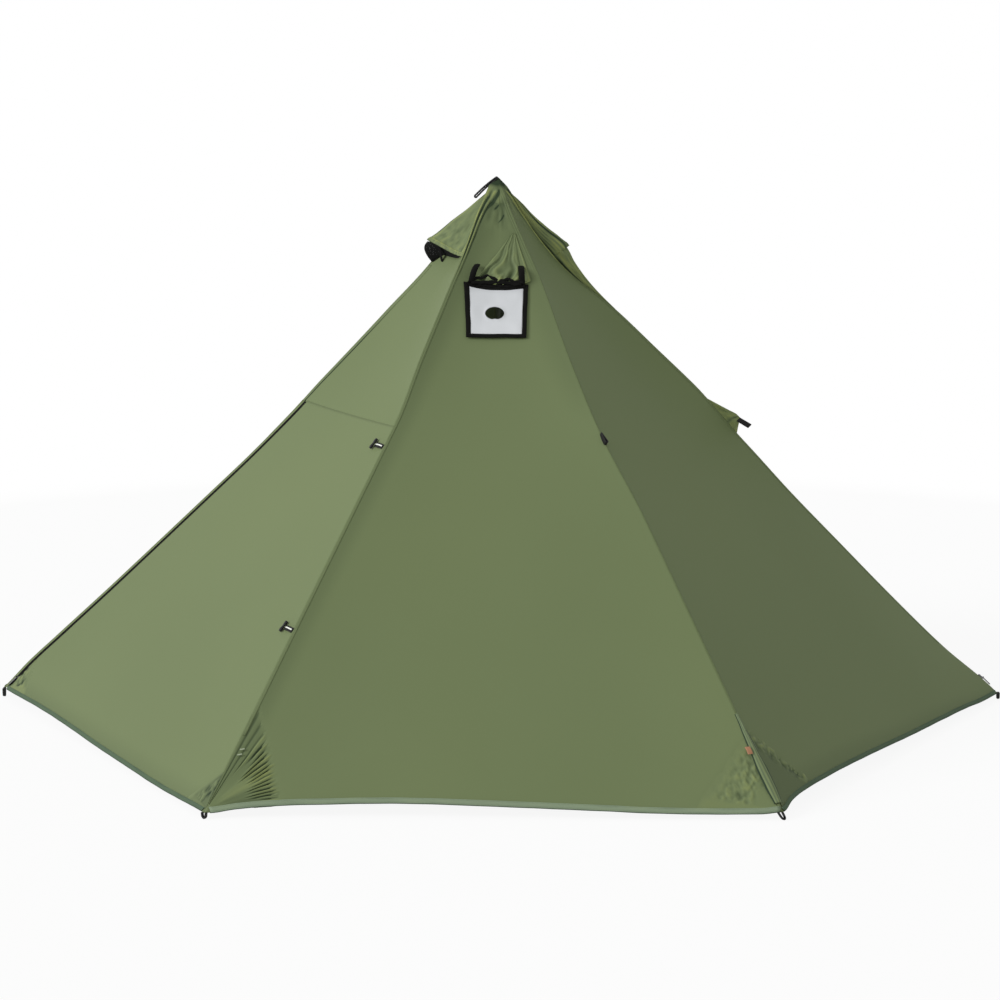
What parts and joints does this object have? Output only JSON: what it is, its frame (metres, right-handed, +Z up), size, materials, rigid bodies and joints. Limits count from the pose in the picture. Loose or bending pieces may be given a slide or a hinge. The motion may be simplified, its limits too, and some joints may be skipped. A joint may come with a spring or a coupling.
{
  "type": "tipi tent",
  "caption": "Six-sided one-pole tipi tent with zipped doors, raised vent hoods at the top, a stove-pipe patch and webbing peg loops.",
  "frame": {"origin": "on the ground under the pole, at the centre of the six hem corners", "axes": "+Z up along the pole, -Y out of the side with the stove-pipe patch, +X to the right of someone who faces that side"},
  "size_m": [3.206, 2.786, 1.6806],
  "materials": {
    "tent_cloth": "matt coated weave",
    "hem_tape": "matt tape",
    "black_webbing": "matt webbing",
    "vent_net": "fine net",
    "zip_chain": "coil and tape",
    "zip_metal": "dark plated",
    "moulded_black": "moulded",
    "heat_patch": "coated glass cloth",
    "pole_tube": "drawn tube",
    "black_rubber": "matt"
  },
  "bodies": {
    "tent": {"apex_cap": "tent_cloth", "guy_fin_left": "tent_cloth", "guy_fin_right": "tent_cloth", "guy_loop_back_left": "black_webbing", "guy_loop_front_right": "black_webbing", "guy_loop_left": "black_webbing", "guy_loop_right": "black_webbing", "hem_tape_back": "hem_tape", "hem_tape_back_left": "hem_tape", "hem_tape_front": "hem_tape", "hem_tape_front_right": "hem_tape", "hood_back_right": "tent_cloth", "hood_front_left": "tent_cloth", "jack_binding": "black_webbing", "jack_flap": "tent_cloth", "jack_patch": "heat_patch", "panel_back": "tent_cloth", "panel_back_left": "tent_cloth", "panel_back_right": "tent_cloth", "panel_front": "tent_cloth", "panel_front_left": "tent_cloth", "panel_front_right": "tent_cloth", "peg_loop_back_left": "black_webbing", "peg_loop_back_right": "black_webbing", "peg_loop_front_left": "black_webbing", "peg_loop_front_right": "black_webbing", "peg_loop_left": "black_webbing", "peg_loop_right": "black_webbing", "pole_cup": "moulded_black", "pole_lock_collar": "moulded_black", "pole_top_plug": "black_rubber", "pole_upper_tube": "pole_tube", "ridge_strip": "hem_tape", "vent_net_back_right": "vent_net", "vent_net_front_left": "vent_net", "zip_chain_back_right": "zip_chain", "zip_chain_front_left": "zip_chain"},
    "door_front_left": {"door_front_left": "tent_cloth", "hem_tape_front_left": "hem_tape"},
    "slider_front_left": {"zip_slider_front_left": "zip_metal"},
    "pull_front_left": {"zip_pull_front_left": "zip_metal"},
    "prop_front_left": {"vent_prop_front_left": "moulded_black"},
    "tie_front_left_low": {"tie_strap_front_left_low": "black_webbing", "tie_toggle_front_left_low": "moulded_black"},
    "tie_front_left_high": {"tie_strap_front_left_high": "black_webbing", "tie_toggle_front_left_high": "moulded_black"},
    "door_back_right": {"door_back_right": "tent_cloth", "hem_tape_back_right": "hem_tape"},
    "slider_back_right": {"zip_slider_back_right": "zip_metal"},
    "pull_back_right": {"zip_pull_back_right": "zip_metal"},
    "prop_back_right": {"vent_prop_back_right": "moulded_black"},
    "tie_back_right_low": {"tie_strap_back_right_low": "black_webbing", "tie_toggle_back_right_low": "moulded_black"},
    "tie_back_right_high": {"tie_strap_back_right_high": "black_webbing", "tie_toggle_back_right_high": "moulded_black"},
    "top_loop_body": {"top_loop": "black_webbing"},
    "strap_left": {"jack_strap_left": "black_webbing"},
    "strap_right": {"jack_strap_right": "black_webbing"},
    "pole_lower": {"pole_lower_tube": "pole_tube", "pole_foot": "black_rubber"}
  },
  "joints": [
    {"name": "door_swing_front_left", "type": "hinge", "parent": "tent", "child": "door_front_left", "pos_m": [-0.8, -1.38564, 0.03], "axis": [0.3601, 0.6236, 0.6938], "range_deg": [0, 110]},
    {"name": "zip_slide_front_left", "type": "slide", "parent": "tent", "child": "slider_front_left", "axis": [0.7201, 0, 0.6938], "range_m": [0, 1.271]},
    {"name": "zip_pull_turn_front_left", "type": "hinge", "parent": "slider_front_left", "child": "pull_front_left", "pos_m": [-1.56099, -0.01697, 0.0681], "axis": [-0.258, 0.9283, 0.2678], "range_deg": [0, 170]},
    {"name": "tie_turn_front_left_low", "type": "hinge", "parent": "door_front_left", "child": "tie_front_left_low", "pos_m": [-0.58179, -0.99934, 0.45799], "axis": [0.3601, 0.6236, 0.6939], "range_deg": [0, 100]},
    {"name": "tie_turn_front_left_high", "type": "hinge", "parent": "door_front_left", "child": "tie_front_left_high", "pos_m": [-0.33875, -0.57838, 0.92633], "axis": [0.3601, 0.6236, 0.6938], "range_deg": [0, 100]},
    {"name": "vent_prop_swing_front_left", "type": "hinge", "parent": "tent", "child": "prop_front_left", "pos_m": [-0.18843, -0.04334, 1.46031], "axis": [-0.6533, 0.7434, 0.1431], "range_deg": [0, 90]},
    {"name": "door_swing_back_right", "type": "hinge", "parent": "tent", "child": "door_back_right", "pos_m": [0.8, 1.38564, 0.03], "axis": [-0.3601, -0.6236, 0.6938], "range_deg": [0, 110]},
    {"name": "zip_slide_back_right", "type": "slide", "parent": "tent", "child": "slider_back_right", "axis": [-0.7201, 0, 0.6938], "range_m": [0, 1.271]},
    {"name": "zip_pull_turn_back_right", "type": "hinge", "parent": "slider_back_right", "child": "pull_back_right", "pos_m": [1.56099, 0.01697, 0.0681], "axis": [0.258, -0.9283, 0.2678], "range_deg": [0, 170]},
    {"name": "tie_turn_back_right_low", "type": "hinge", "parent": "door_back_right", "child": "tie_back_right_low", "pos_m": [0.58179, 0.99934, 0.45799], "axis": [-0.3601, -0.6236, 0.6939], "range_deg": [0, 100]},
    {"name": "tie_turn_back_right_high", "type": "hinge", "parent": "door_back_right", "child": "tie_back_right_high", "pos_m": [0.33875, 0.57838, 0.92633], "axis": [-0.3601, -0.6236, 0.6938], "range_deg": [0, 100]},
    {"name": "vent_prop_swing_back_right", "type": "hinge", "parent": "tent", "child": "prop_back_right", "pos_m": [0.18843, 0.04334, 1.46031], "axis": [0.6533, -0.7434, 0.1431], "range_deg": [0, 90]},
    {"name": "top_loop_swing", "type": "hinge", "parent": "tent", "child": "top_loop_body", "pos_m": [0, 0, 1.67613], "axis": [0, 1, 0], "range_deg": [0, 270]},
    {"name": "jack_strap_swing_left", "type": "hinge", "parent": "tent", "child": "strap_left", "pos_m": [-0.072, -0.2156, 1.37037], "axis": [1, 0, 0], "range_deg": [0, 140]},
    {"name": "jack_strap_swing_right", "type": "hinge", "parent": "tent", "child": "strap_right", "pos_m": [0.072, -0.2156, 1.37037], "axis": [1, 0, 0], "range_deg": [0, 140]},
    {"name": "pole_slide", "type": "slide", "parent": "tent", "child": "pole_lower", "axis": [0, 0, 1], "range_m": [-0.08, 0.64]}
  ]
}
